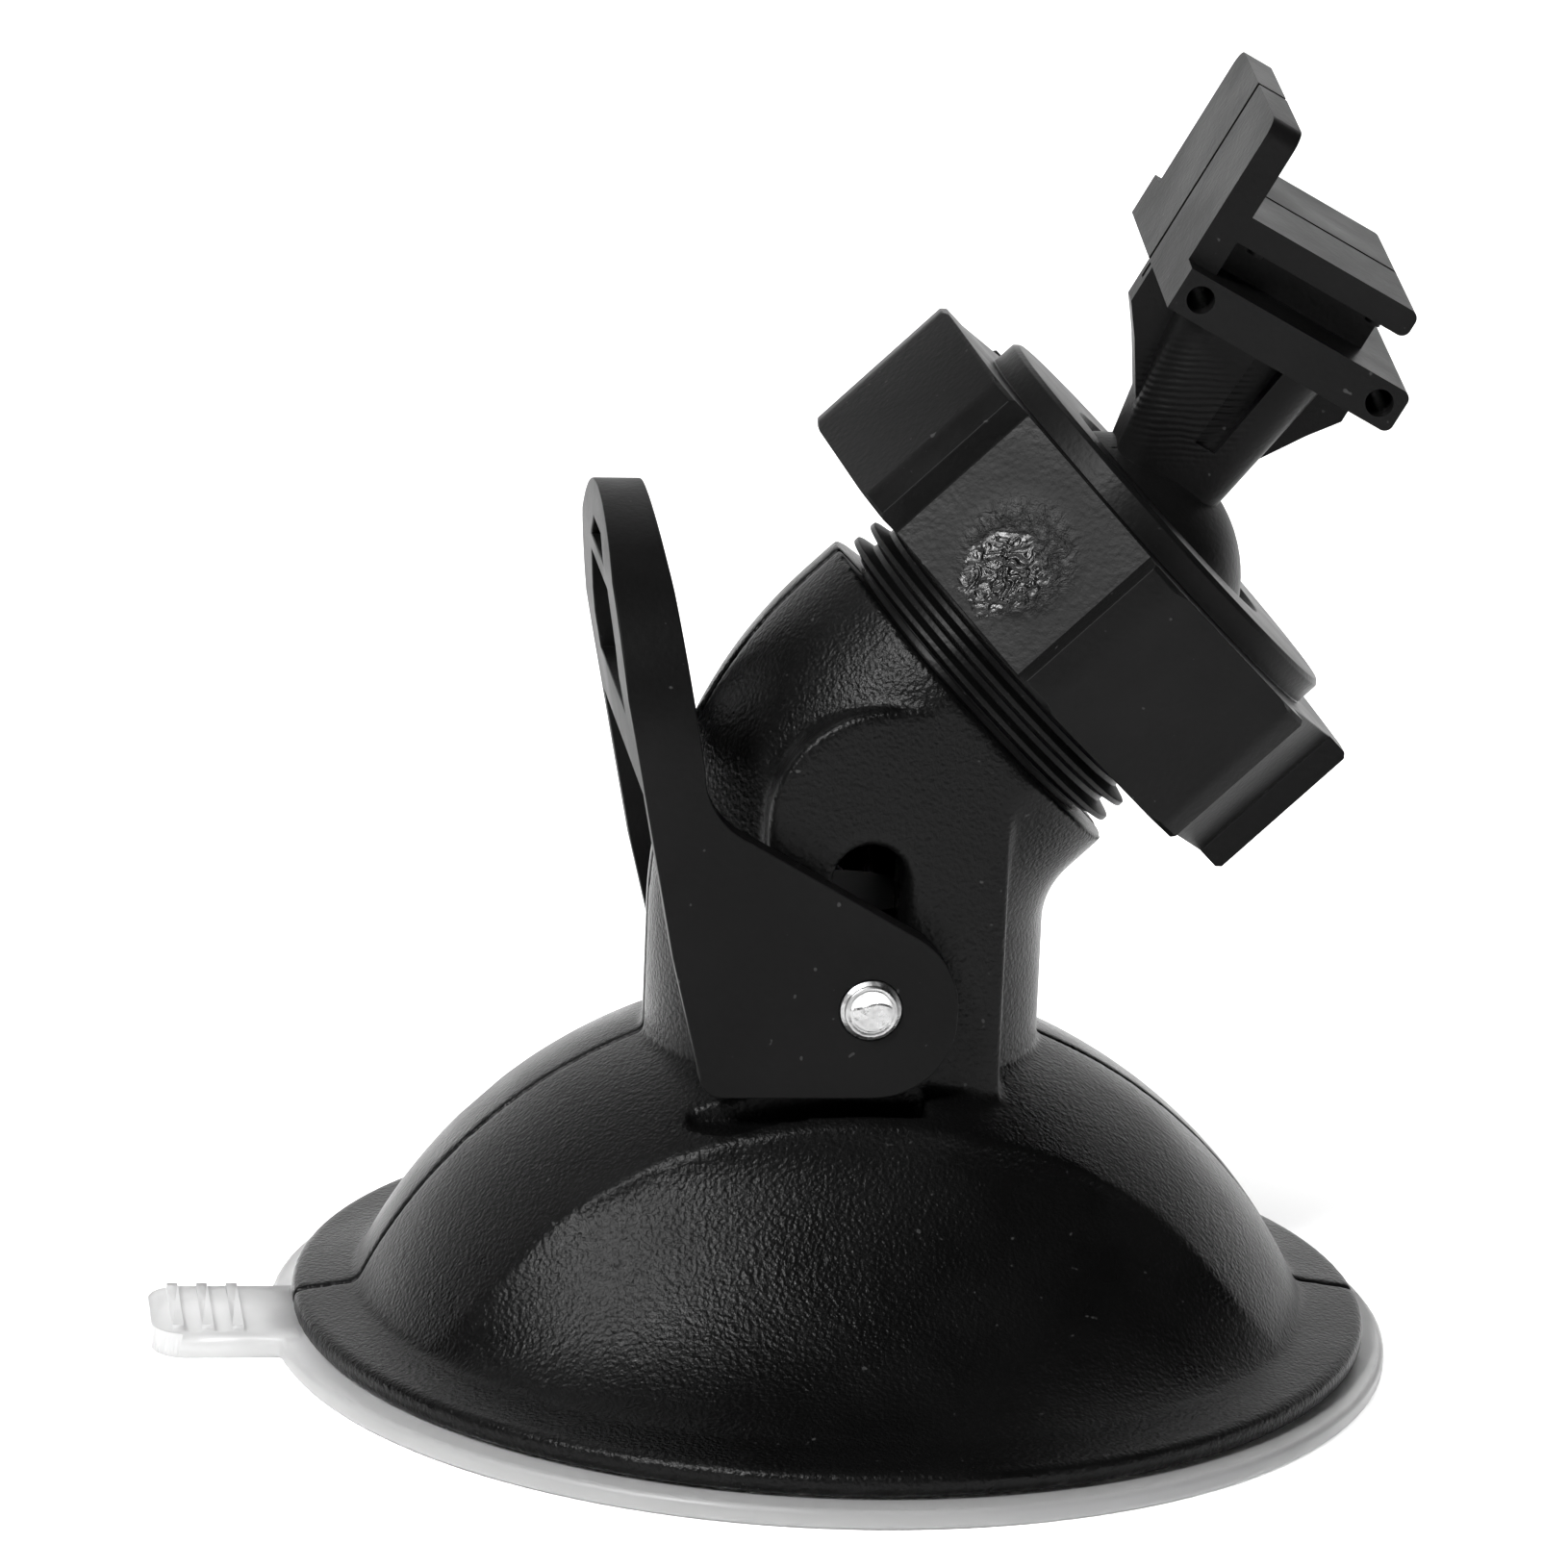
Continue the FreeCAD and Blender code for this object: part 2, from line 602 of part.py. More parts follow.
def pressure_ring():
    """Ring that the nut presses on the ball's shoulder."""
    half_gap = SIZES["fit_gap"] / 2
    cup_radius = size("ball_radius") + size("fit_gap") / 2
    return on_nut_axis(revolved("pressure_ring", [
        (at_ball(SIZES["ring_low"], half_gap), size("ring_low"), -cup_radius),
        (size("ring_radius"), size("ring_low")),
        (size("ring_radius"), size("ring_high")),
        (at_ball(SIZES["ring_high"], half_gap), size("ring_high")),
    ]))


def clamp_nut():
    """Hand nut with four broad lobes, recesses between them and a raised collar round the ball."""
    bevel = size("nut_bevel")
    turned = revolved("nut_turning", [
        (size("nut_bore"), size("nut_low")),
        (size("nut_corner") - bevel, size("nut_low")),
        (size("nut_corner"), size("nut_low") + bevel),
        (size("nut_corner"), size("nut_high") - bevel),
        (size("nut_corner") - bevel, size("nut_high")),
        (size("collar_radius"), size("nut_high")),
        (size("collar_radius"), size("collar_top") - bevel),
        (size("collar_radius") - bevel, size("collar_top")),
        (size("collar_mouth"), size("collar_top")),
        (size("collar_hole"), size("nut_roof")),
        (size("ring_radius") + size("fit_gap"), size("nut_roof")),
        (size("ring_radius") + size("fit_gap"), size("nut_bore_top")),
        (size("nut_bore"), size("nut_bore_top")),
    ])
    tools = []
    for i in range(4):
        turn = SIZES["nut_turn"] + 90 * i
        tools.append(nut_cutter(f"nut_flat_{i}", flat_outline(), turn))
        tools.append(nut_cutter(f"nut_recess_{i}", recess_outline(), turn + 45))
    return on_nut_axis(cut("clamp_nut", turned, tools))


def flat_outline():
    """Material beyond a lobe's flat face."""
    flat = size("nut_flat")
    outside = size("nut_corner") + PAST
    return [(flat, -outside), (outside, -outside), (outside, outside), (flat, outside)]


def recess_outline():
    """Shallow hollow between two lobes, with slanted flanks."""
    half = math.radians(SIZES["nut_recess_angle"] / 2)
    flare = math.tan(half + SIZES["nut_flare"])
    floor = size("nut_recess")
    outer = size("nut_corner") + PAST
    low_corner = floor * math.sin(half)
    return [
        (floor * math.cos(half), -low_corner),
        (outer, -(outer * flare)),
        (outer, outer * flare),
        (floor * math.cos(half), low_corner),
    ]


def nut_cutter(name, outline, turn):
    """Upright column over the nut's whole height below the collar, turned about the nut axis."""
    body = doc.addObject("PartDesign::Body", name)
    pad = body.newObject("PartDesign::Pad", f"{name}_pad")
    pad.Profile = new_sketch(body, "XY_Plane", outline)
    low = size("nut_low") - PAST
    bind(pad, Length=size("nut_high") - low)
    body.Placement.Rotation = FreeCAD.Rotation(V(0, 0, 1), turn)
    return bind(body, z=low)


# ---------------------------------------------------------------- ball bracket
def stem_section(height, half_x, half_y):
    """Rounded rectangle of the stem at one height."""
    corner = min(half_x, half_y) * 0.55
    x = half_x - corner
    y = half_y - corner
    edges = []
    corners = [(x, y, 0), (-x, y, 90), (-x, -y, 180), (x, -y, 270)]
    arcs = [Part.makeCircle(corner, V(cx, cy, height), V(0, 0, 1), a, a + 90) for cx, cy, a in corners]
    for i, arc in enumerate(arcs):
        after = arcs[(i + 1) % 4]
        edges += [arc, Part.makeLine(arc.Vertexes[-1].Point, after.Vertexes[0].Point)]
    return Part.Wire(edges)


def bracket_stem():
    stem = doc.addObject("Part::Feature", "bracket_stem")
    stem.Shape = Part.makeLoft([
        stem_section(SIZES["stem_low"], SIZES["waist_x"] - SINK, SIZES["waist_y"] - SINK),
        stem_section(SIZES["waist_height"], SIZES["waist_x"], SIZES["waist_y"]),
        stem_section(SIZES["plate_bottom"] + SINK, SIZES["neck_top_x"], SIZES["neck_top_y"]),
    ], True, True)
    return stem


def side_gussets():
    reach = size("gusset_reach")
    low_reach = size("waist_x") - 0.2
    top = size("plate_bottom") + SINK
    return padded("side_gussets", "XZ_Plane", [
        (-low_reach, size("gusset_low")),
        (low_reach, size("gusset_low")),
        (reach - 1.2, size("gusset_high") - 1.6),
        (reach, size("gusset_high")),
        (reach, top),
        (-reach, top),
        (-reach, size("gusset_high")),
        (-(reach - 1.2), size("gusset_high") - 1.6),
    ], size("gusset_thick"))


def ball_bracket():
    """Ball, stem and double tee head in one moulding, modelled with the stem along Z."""
    ball = doc.addObject("Part::Sphere", "bracket_ball")
    bind(ball, Radius=size("ball_radius"))
    px = size("plate_x")
    py = size("plate_y")
    ty = size("tee_y")
    inner = -(px - size("upright_thick"))
    plate = box("lower_plate", (-px, -py, size("plate_bottom")), (px, py, size("plate_top")))
    web = box("tee_web", (-px, -size("web_y"), size("plate_top") - SINK),
              (size("web_x"), size("web_y"), size("tee_bottom") + SINK))
    tee = box("upper_tee", (inner - SINK, -ty, size("tee_bottom")), (size("tee_x"), ty, size("tee_top")))
    upright = box("upright", (-px, -ty, size("plate_bottom")), (inner, ty, size("upright_top")))
    edge = size("bracket_round")
    blocks = [
        rounded("lower_plate_round", plate, edge, lambda e: along(e, V(0, 1, 0)) and e.CenterOfMass.x > 0),
        rounded("upper_tee_round", tee, edge, lambda e: along(e, V(0, 1, 0)) and e.CenterOfMass.x > 0),
        rounded("upright_round", upright, edge * 2, lambda e: along(e, V(1, 0, 0)) and e.CenterOfMass.z > 20),
        web,
    ]
    nubs = [cylinder(f"tee_nub_{i}", size("nub_radius"), size("nub_drop") + 0.2, x=size("nub_spread") * side,
                     y=size("web_y") * -1.25, z=size("tee_bottom") - size("nub_drop"))
            for i, side in enumerate((-1, 1))]
    solid = fuse("bracket_solid", [ball, bracket_stem(), side_gussets()] + blocks + nubs)
    half = size("slit_width") / 2
    tools = [
        box("upright_slit", (-px - PAST, -half, size("plate_top")),
            (inner + HAIR, half, size("upright_top") + PAST)),
        box("upright_groove", (-px - 1, -half, size("plate_bottom") - 1),
            (-px + size("slit_groove"), half, size("plate_top") + PAST)),
        box("tee_slit", (inner - PAST, -half, size("tee_bottom") + 0.3), (px, half, size("tee_top") + PAST)),
    ]
    front = size("neck_top_y")
    panel = padded("stem_panel", "XZ_Plane", [
        (-fixed(0.15), size("panel_low")),
        (fixed(1.1), size("panel_low")),
        (fixed(1.8), size("plate_bottom")),
        (ZERO, size("plate_bottom")),
    ], front * 2)
    tools.append(bind(panel, y=-(front * 2 - size("panel_depth"))))
    for i, side in enumerate((-1, 1)):
        middle = (size("plate_bottom") + size("plate_top")) / 2
        tools.append(cylinder(f"plate_hole_{i}", size("hole_radius"), py * 2 + 2, ALONG_Y,
                              x=size("hole_spread") * side, y=-py - 1, z=middle))
    bracket = cut("ball_bracket", solid, tools)
    elbow = math.radians(SIZES["elbow_angle"])
    centre = V(0, 0, SIZES["elbow_corner"]) + V(math.sin(elbow), 0, math.cos(elbow)) * SIZES["ball_height"]
    tilt = FreeCAD.Rotation(V(0, 1, 0), SIZES["stem_tilt"])
    lean = FreeCAD.Rotation(V(1, 0, 0), SIZES["stem_lean"])
    twist = FreeCAD.Rotation(V(0, 0, 1), SIZES["stem_twist"])
    bracket.Placement = FreeCAD.Placement(centre, tilt.multiply(lean).multiply(twist))
    bracket.setExpression("Placement.Base.x", "Sizes.ball_height * sin(Sizes.elbow_angle * 1deg)")
    bracket.setExpression("Placement.Base.z",
                          "Sizes.elbow_corner + Sizes.ball_height * cos(Sizes.elbow_angle * 1deg)")
    return bracket


def along(edge, direction):
    """True for a straight edge in the given direction."""
    if edge.Curve.TypeId != "Part::GeomLine":
        return False
    return abs(abs(edge.tangentAt(edge.FirstParameter).dot(direction)) - 1) < 1e-6


# ---------------------------------------------------------------- lever
def paddle(name, half, length):
    """Handle's outline seen along X: straight rails under a round top."""
    middle = size("handle_top") - size("lever_half")
    return padded(name, "YZ_Plane", [
        (-half, ZERO),
        (half, ZERO),
        (half, middle),
        (ZERO, middle + half, half),
        (-half, middle, half),
    ], length)


def lever():
    """Two cam arms and a framed handle. The left edge is the flat that holds the cup locked."""
    pin = size("pin_height")
    foot = pin - size("cam_drop")
    top = size("handle_top")
    corner = size("cam_round")
    nose = size("arm_nose")
    arms = padded("lever_arms", "XZ_Plane", [
        (-size("cam_left"), foot, corner),
        (fixed(0.4), foot),
        (nose, pin - 0.5, nose - 0.3),
        (fixed(2.1), pin + 4.09, nose),
        (fixed(-6.6), pin + 9.1),
        (fixed(-9.15), pin + 12.9, -fixed(4.2)),
        (fixed(-10.7), top - 3.6),
        (fixed(-11.5), top),
        (fixed(-14.05), top),
        (fixed(-13.95), top - 3.3),
        (fixed(-13.25), top - 8.7),
        (fixed(-10.5), pin + 2.8),
        (-(size("cam_left") + 1), foot + corner),
    ], size("lever_half") * 2)
    blank = common("lever_blank", arms, paddle("handle_outline", size("lever_half"), top))
    web = size("web_thick")
    between = padded("behind_web", "XZ_Plane", [
        (fixed(-12.35) + web, size("band_low")),
        (ZERO, size("band_low")),
        (ZERO, top),
        (fixed(-14.0) + web, top),
        (fixed(-13.95) + web, top - 3.3),
        (fixed(-13.25) + web, top - 8.7),
    ], size("lever_half") * 2)
    rails = size("lever_half") - size("rail_thick")
    inner = common("between_rails", between, paddle("inner_outline", rails, top))
    far = size("rim_radius")
    clear = size("lever_inner")
    gap = box("between_arms", (-far, -clear, ZERO), (far, clear, size("band_low")))
    window = padded("handle_window", "YZ_Plane", [
        (fixed(-6.6), size("band_high")),
        (fixed(6.6), size("band_high")),
        (fixed(6.2), size("band_high") + 3.4),
        (fixed(4.4), size("window_top")),
        (fixed(-4.4), size("window_top")),
        (fixed(-6.2), size("band_high") + 3.4),
    ], far * 2)
    eye = padded("handle_eye", "YZ_Plane", [
        (fixed(-3.4), size("bar_top")),
        (fixed(3.4), size("bar_top")),
        (fixed(2.0), size("eye_top")),
        (fixed(-2.0), size("eye_top")),
    ], far * 2)
    reach = size("lever_half") + 1
    hole = cylinder("lever_hole", size("pin_hole"), reach * 2, ALONG_Y, y=-reach, z=pin)
    return cut("lever", blank, [gap, inner, window, eye, hole])


# ---------------------------------------------------------------- build, check and write
def build():
    whole = housing()
    nodes = [
        suction_cup(), pull_post(), lever_pin(), spring_washer(), return_spring(),
        housing_half("housing_front", whole, -1), housing_half("housing_rear", whole, 1), housing_screws(),
        ball_socket(), ball_seat(), pressure_ring(), clamp_nut(), ball_bracket(), lever(),
    ]
    doc.recompute()
    for item in doc.Objects:
        if "Invalid" in item.State or "Error" in item.State:
            raise RuntimeError(f"{item.Name} failed: {item.State}")
    return nodes


def write(nodes):
    os.makedirs("parts", exist_ok=True)
    for node in nodes:
        shape = node.Shape
        if shape.isNull() or not shape.isValid():
            raise RuntimeError(f"{node.Label} has no valid shape")
        print(f"{node.Label:16s} solids {len(shape.Solids)} volume {shape.Volume:10.2f} mm3")
        shape.exportStep(f"parts/{node.Label}.step")


write(build())
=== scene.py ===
"""Looks of a suction-cup windscreen mount: black plastic, a clear vinyl cup, a bright pin and a studio."""

import json
import math

import bmesh
import bpy
from mathutils import Matrix, Vector, noise


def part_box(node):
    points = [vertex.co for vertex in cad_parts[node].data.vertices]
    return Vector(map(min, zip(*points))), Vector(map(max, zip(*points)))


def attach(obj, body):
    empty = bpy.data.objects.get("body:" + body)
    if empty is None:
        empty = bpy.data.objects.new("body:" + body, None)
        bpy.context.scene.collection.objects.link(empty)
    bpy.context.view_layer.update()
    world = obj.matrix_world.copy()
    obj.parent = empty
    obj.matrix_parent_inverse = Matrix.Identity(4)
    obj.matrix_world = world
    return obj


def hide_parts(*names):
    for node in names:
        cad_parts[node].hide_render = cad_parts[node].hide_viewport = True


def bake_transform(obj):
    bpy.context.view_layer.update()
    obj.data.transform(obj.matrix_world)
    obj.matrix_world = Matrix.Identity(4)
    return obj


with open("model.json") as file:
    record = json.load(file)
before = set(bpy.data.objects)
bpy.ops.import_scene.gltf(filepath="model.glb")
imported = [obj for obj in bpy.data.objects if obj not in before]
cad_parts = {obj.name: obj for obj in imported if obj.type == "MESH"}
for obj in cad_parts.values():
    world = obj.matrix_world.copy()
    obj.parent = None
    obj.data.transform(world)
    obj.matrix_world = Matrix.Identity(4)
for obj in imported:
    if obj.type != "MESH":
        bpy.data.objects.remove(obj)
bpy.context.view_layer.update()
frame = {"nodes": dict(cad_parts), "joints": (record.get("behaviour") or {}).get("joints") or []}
NODES = frame["nodes"]
JOINTS = {j["name"]: j for j in frame["joints"]}

MM = 0.001
WELD_GAP = 0.002 * MM
NUT_AXIS = Vector(JOINTS["nut_turn"]["axis"]).normalized()
NUT_FOOT = Vector(JOINTS["nut_turn"]["pos_m"])
PIN = Vector(JOINTS["lever_turn"]["pos_m"])


# ---------------------------------------------------------------- material helpers
class Shade:
    """A Principled material and short names for the nodes that feed it."""

    def __init__(self, name, **values):
        self.material = bpy.data.materials.new(name)
        self.material.use_nodes = True
        self.tree = self.material.node_tree
        self.shader = self.tree.nodes["Principled BSDF"]
        self.place = self.add("ShaderNodeTexCoord").outputs["Object"]
        for key, value in values.items():
            self.shader.inputs[key.replace("_", " ")].default_value = value

    def add(self, kind, **values):
        node = self.tree.nodes.new(kind)
        for key, value in values.items():
            setattr(node, key, value)
        return node

    def plug(self, value, socket):
        """Link an output, or set a plain value."""
        if isinstance(value, bpy.types.NodeSocket):
            self.tree.links.new(value, socket)
        else:
            socket.default_value = value

    def to(self, name, value):
        self.plug(value, self.shader.inputs[name])

    def noise(self, size, detail=2.0, rough=0.5, distortion=0.0, place=None):
        """Noise with features of about size millimetres."""
        node = self.add("ShaderNodeTexNoise")
        self.plug(place or self.place, node.inputs["Vector"])
        self.plug(1 / (size * MM), node.inputs["Scale"])
        self.plug(detail, node.inputs["Detail"])
        self.plug(rough, node.inputs["Roughness"])
        self.plug(distortion, node.inputs["Distortion"])
        return node.outputs["Fac"]

    def cells(self, size):
        node = self.add("ShaderNodeTexVoronoi", feature="SMOOTH_F1")
        self.plug(self.place, node.inputs["Vector"])
        self.plug(1 / (size * MM), node.inputs["Scale"])
        return node.outputs["Distance"]

    def ramp(self, value, low, high, start=0.0, end=1.0):
        node = self.add("ShaderNodeMapRange", interpolation_type="SMOOTHSTEP")
        numbers = (value, low, high, start, end)
        for key, number in zip(("Value", "From Min", "From Max", "To Min", "To Max"), numbers):
            self.plug(number, node.inputs[key])
        return node.outputs["Result"]

    def math(self, operation, first, second):
        node = self.add("ShaderNodeMath", operation=operation)
        self.plug(first, node.inputs[0])
        self.plug(second, node.inputs[1])
        return node.outputs["Value"]

    def blend(self, factor, first, second):
        """Colour that runs from first to second as the factor goes from 0 to 1."""
        node = self.add("ShaderNodeMix", data_type="RGBA")
        self.plug(factor, node.inputs[0])
        for value, socket in ((first, node.inputs[6]), (second, node.inputs[7])):
            self.plug(value if isinstance(value, bpy.types.NodeSocket) else (*value, 1.0), socket)
        return node.outputs[2]

    def bump(self, height, depth, normal=None):
        """Surface relief; depth is in millimetres for a height of 1."""
        node = self.add("ShaderNodeBump")
        self.plug(depth * MM, node.inputs["Distance"])
        self.plug(height, node.inputs["Height"])
        if normal is not None:
            self.plug(normal, node.inputs["Normal"])
        return node.outputs["Normal"]

    def near(self, centre, radius, soft=0.5):
        """1 around a point, falling to 0 at the radius in millimetres."""
        node = self.add("ShaderNodeVectorMath", operation="DISTANCE")
        self.plug(self.place, node.inputs[0])
        self.plug(tuple(centre), node.inputs[1])
        return self.ramp(node.outputs["Value"], radius * soft * MM, radius * MM, 1.0, 0.0)


def grey(value):
    return (value, value, value)


def plastic(name, tone, rough, grain, grain_size, specks=0.5, shine=0.06):
    """Moulded black plastic: pebbled skin, cloudy gloss and fine dust specks."""
    s = Shade(name, IOR=1.5, Specular_IOR_Level=shine)
    pebble = s.cells(grain_size)
    fine = s.noise(grain_size * 0.8, 3.0, 0.6)
    skin = s.math("ADD", s.math("MULTIPLY", pebble, 0.8), fine)
    s.skin = s.bump(skin, grain)
    s.to("Normal", s.skin)
    cloud = s.noise(9.0, 4.0, 0.55)
    s.gloss = s.ramp(cloud, 0.3, 0.7, rough - 0.05, rough + 0.07)
    s.to("Roughness", s.gloss)
    dust = s.ramp(s.noise(0.55, 1.0, 0.4), 0.76, 0.8, 0.0, specks)
    body = s.blend(s.ramp(cloud, 0.35, 0.65), grey(tone), grey(tone * 1.5))
    s.to("Base Color", s.blend(dust, body, grey(0.05)))
    return s


def clear_vinyl():
    """Soft clear vinyl, slightly milky, with a faint moulding ripple."""
    s = Shade("clear_vinyl", IOR=1.3, Transmission_Weight=0.76)
    milk = s.noise(6.0, 3.0)
    s.to("Base Color", s.blend(milk, grey(0.84), grey(0.74)))
    s.to("Roughness", s.ramp(milk, 0.3, 0.7, 0.32, 0.42))
    s.to("Normal", s.bump(s.noise(2.4, 2.0), 0.04))
    return s


def bright_metal(name, tone=0.55, rough=0.24):
    """Zinc-plated steel with fine scratches and dull patches."""
    s = Shade(name, Metallic=1.0)
    patch = s.noise(1.1, 4.0, 0.6)
    s.to("Roughness", s.ramp(patch, 0.35, 0.7, rough, rough + 0.25))
    s.to("Base Color", s.blend(s.ramp(patch, 0.3, 0.75), grey(tone), grey(tone * 0.72)))
    s.to("Normal", s.bump(s.noise(0.35, 5.0, 0.7, 0.6), 0.03))
    return s


def rubber():
    """Dull black friction rubber with moulding bloom."""
    s = Shade("seat_rubber", Specular_IOR_Level=0.2)
    bloom = s.noise(3.0, 4.0)
    s.to("Base Color", s.blend(bloom, grey(0.012), grey(0.03)))
    s.to("Roughness", s.ramp(bloom, 0.3, 0.7, 0.6, 0.8))
    s.to("Normal", s.bump(s.noise(0.4, 3.0), 0.02))
    return s


def torn_gloss():
    """Shiny torn skin where the moulding gate was broken off."""
    s = Shade("gate_gloss", IOR=1.5, Specular_IOR_Level=0.3)
    tears = s.noise(0.9, 5.0, 0.65, 1.6)
    s.to("Base Color", s.blend(tears, grey(0.002), grey(0.004)))
    s.to("Roughness", s.ramp(tears, 0.3, 0.7, 0.2, 0.38))
    s.to("Normal", s.bump(tears, 0.05))
    return s


def paint(piece, shade):
    piece.data.materials.clear()
    piece.data.materials.append(shade.material)


# ---------------------------------------------------------------- mesh helpers
def new_piece(name, bm, shade, body):
    """A finished bmesh becomes a smooth piece that rides on a body."""
    bmesh.ops.recalc_face_normals(bm, faces=bm.faces)
    mesh = bpy.data.meshes.new(name)
    bm.to_mesh(mesh)
    bm.free()
    mesh.shade_smooth()
    piece = bpy.data.objects.new(name, mesh)
    bpy.context.scene.collection.objects.link(piece)
    paint(piece, shade)
    if body:
        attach(piece, body)
    return piece


def moulded(name, voxel, rounds):
    """Ease a CAD node's corners as a worn mould does: a fine even mesh, smoothed."""
    piece = NODES[name]
    weld = piece.modifiers.new("weld", "WELD")
    weld.merge_threshold = WELD_GAP
    even = piece.modifiers.new("even", "REMESH")
    even.mode = "VOXEL"
    even.voxel_size = voxel * MM
    even.use_smooth_shade = True
    ease = piece.modifiers.new("ease", "SMOOTH")
    ease.factor = 0.5
    ease.iterations = rounds
    return piece


def edged(name, width, angle=32.0):
    """Crisp moulding: small rounds on a CAD node's sharp edges."""
    piece = NODES[name]
    custom = piece.data.attributes.get("custom_normal")
    if custom:
        piece.data.attributes.remove(custom)
    piece.data.shade_smooth()
    weld = piece.modifiers.new("weld", "WELD")
    weld.merge_threshold = WELD_GAP
    flat = piece.modifiers.new("flat", "DECIMATE")
    flat.decimate_type = "DISSOLVE"
    flat.angle_limit = math.radians(0.4)
    bevel = piece.modifiers.new("round", "BEVEL")
    bevel.width = width * MM
    bevel.segments = 3
    bevel.limit_method = "ANGLE"
    bevel.angle_limit = math.radians(angle)
    bevel.harden_normals = True
    return piece


def copied(name):
    """Copy of a CAD node's mesh as a new bmesh, welded."""
    bm = bmesh.new()
    bm.from_mesh(NODES[name].data)
    bmesh.ops.remove_doubles(bm, verts=bm.verts, dist=WELD_GAP)
    return bm


# ---------------------------------------------------------------- studio
def camera():
    """Long lens from the front, a little left and above, turned slightly about its own axis."""
    target = Vector((-3.5, 0.0, 30.9)) * MM
    distance = 449.5 * MM
    azimuth = math.radians(-7.4)
    elevation = math.radians(15.76)
    roll = math.radians(2.34)
    away = Vector((
        math.sin(azimuth) * math.cos(elevation),
        -math.cos(azimuth) * math.cos(elevation),
        math.sin(elevation),
    ))
    data = bpy.data.cameras.new("camera")
    data.lens = 193.9
    data.sensor_width = 36.0
    data.clip_start = 0.01
    turn = (-away).to_track_quat("-Z", "Y").to_matrix().to_4x4() @ Matrix.Rotation(roll, 4, "Z")
    rig = bpy.data.objects.new("camera", data)
    rig.matrix_world = Matrix.Translation(target + away * distance) @ turn
    bpy.context.scene.collection.objects.link(rig)
    bpy.context.scene.camera = rig


def softbox(name, direction, distance, size, power):
    """Square area light that looks at the object's middle from a direction."""
    data = bpy.data.lights.new(name, "AREA")
    data.size = size
    data.energy = power
    away = Vector(direction).normalized()
    rig = bpy.data.objects.new(name, data)
    middle = Vector((0.0, 0.0, 25.0)) * MM
    turn = (-away).to_track_quat("-Z", "Y").to_matrix().to_4x4()
    rig.matrix_world = Matrix.Translation(middle + away * distance) @ turn
    bpy.context.scene.collection.objects.link(rig)
    return rig


def paper():
    """Seamless sheet: flat under the object, curving up behind it."""
    shade = Shade("paper", Base_Color=(0.92, 0.92, 0.92, 1.0), Roughness=0.95, Specular_IOR_Level=0.05)
    fibre = shade.noise(2.0, 3.0)
    shade.to("Normal", shade.bump(fibre, 0.01))
    bm = bmesh.new()
    front, back, half, top = -3.0, 1.3, 4.0, 4.0
    radius, steps = 0.5, 16
    drop = 0.02 * MM
    profile = [(front, 0.0), (back, 0.0)]
    for k in range(1, steps + 1):
        turn = math.pi / 2 * k / steps
        profile.append((back + radius * math.sin(turn), radius * (1 - math.cos(turn))))
    profile.append((back + radius, top))
    rows = [[bm.verts.new((x, y, z - drop)) for x in (-half, half)] for y, z in profile]
    for low, high in zip(rows, rows[1:]):
        bm.faces.new((low[0], low[1], high[1], high[0]))
    mesh = bpy.data.meshes.new("paper_sweep")
    bm.to_mesh(mesh)
    bm.free()
    mesh.shade_smooth()
    sheet = bpy.data.objects.new("paper_sweep", mesh)
    bpy.context.scene.collection.objects.link(sheet)
    paint(sheet, shade)
    return sheet


def studio():
    """A small key light from the upper left, two weak soft lights, and a lamp for the paper alone."""
    bpy.context.scene.view_settings.view_transform = "Standard"
    world = bpy.data.worlds.new("studio")
    world.use_nodes = True
    sky = world.node_tree.nodes["Background"]
    sky.inputs["Color"].default_value = (1.0, 1.0, 1.0, 1.0)
    sky.inputs["Strength"].default_value = 0.04
    bpy.context.scene.world = world
    sheet = paper()
    softbox("key_left", (-0.51, -0.56, 0.66), 0.75, 0.12, 8.5)
    softbox("left_top", (-0.5, -0.25, 0.8), 0.8, 0.3, 2.0)
    softbox("top_back", (0.1, 0.7, 0.75), 0.8, 0.6, 0.8)
    lamp = bpy.data.lights.new("paper_lamp", "SUN")
    lamp.energy = 3.2
    lamp.angle = math.radians(40)
    rig = bpy.data.objects.new("paper_lamp", lamp)
    rig.rotation_euler = (math.radians(35), 0.0, 0.0)
    bpy.context.scene.collection.objects.link(rig)
    only_paper = bpy.data.collections.new("paper_only")
    only_paper.objects.link(sheet)
    rig.light_linking.receiver_collection = only_paper


# ---------------------------------------------------------------- the object
def housing():
    shade = plastic("grained_black", tone=0.0016, rough=0.29, grain=0.048, grain_size=0.24, shine=0.095)
    for name in ("housing_front", "housing_rear"):
        paint(moulded(name, voxel=0.22, rounds=9), shade)


def lever():
    shade = plastic("lever_black", tone=0.003, rough=0.46, grain=0.012, grain_size=0.3)
    paint(edged("lever", width=0.4), shade)


# the broken gate lies on one recess of the nut: millimetres and degrees about the nut axis
GATE_TURN = 237.7
GATE_FLOOR = 13.81
GATE_UP = 14.9
GATE_SIDE = 0.5


def gate_frame():
    """Outward, upward and sideways directions of the nut's recess that faces the camera's side."""
    turn = math.radians(GATE_TURN)
    local_x = Vector((NUT_AXIS.z, 0.0, -NUT_AXIS.x))
    out = local_x * math.cos(turn) + Vector((0.0, 1.0, 0.0)) * math.sin(turn)
    return out, NUT_AXIS, NUT_AXIS.cross(out)


def on_recess(rise, up, along):
    """Point in millimetres above the recess floor, up the nut axis and to the side."""
    out, axis, side = gate_frame()
    return NUT_FOOT + (out * (GATE_FLOOR + rise) + axis * up + side * along) * MM


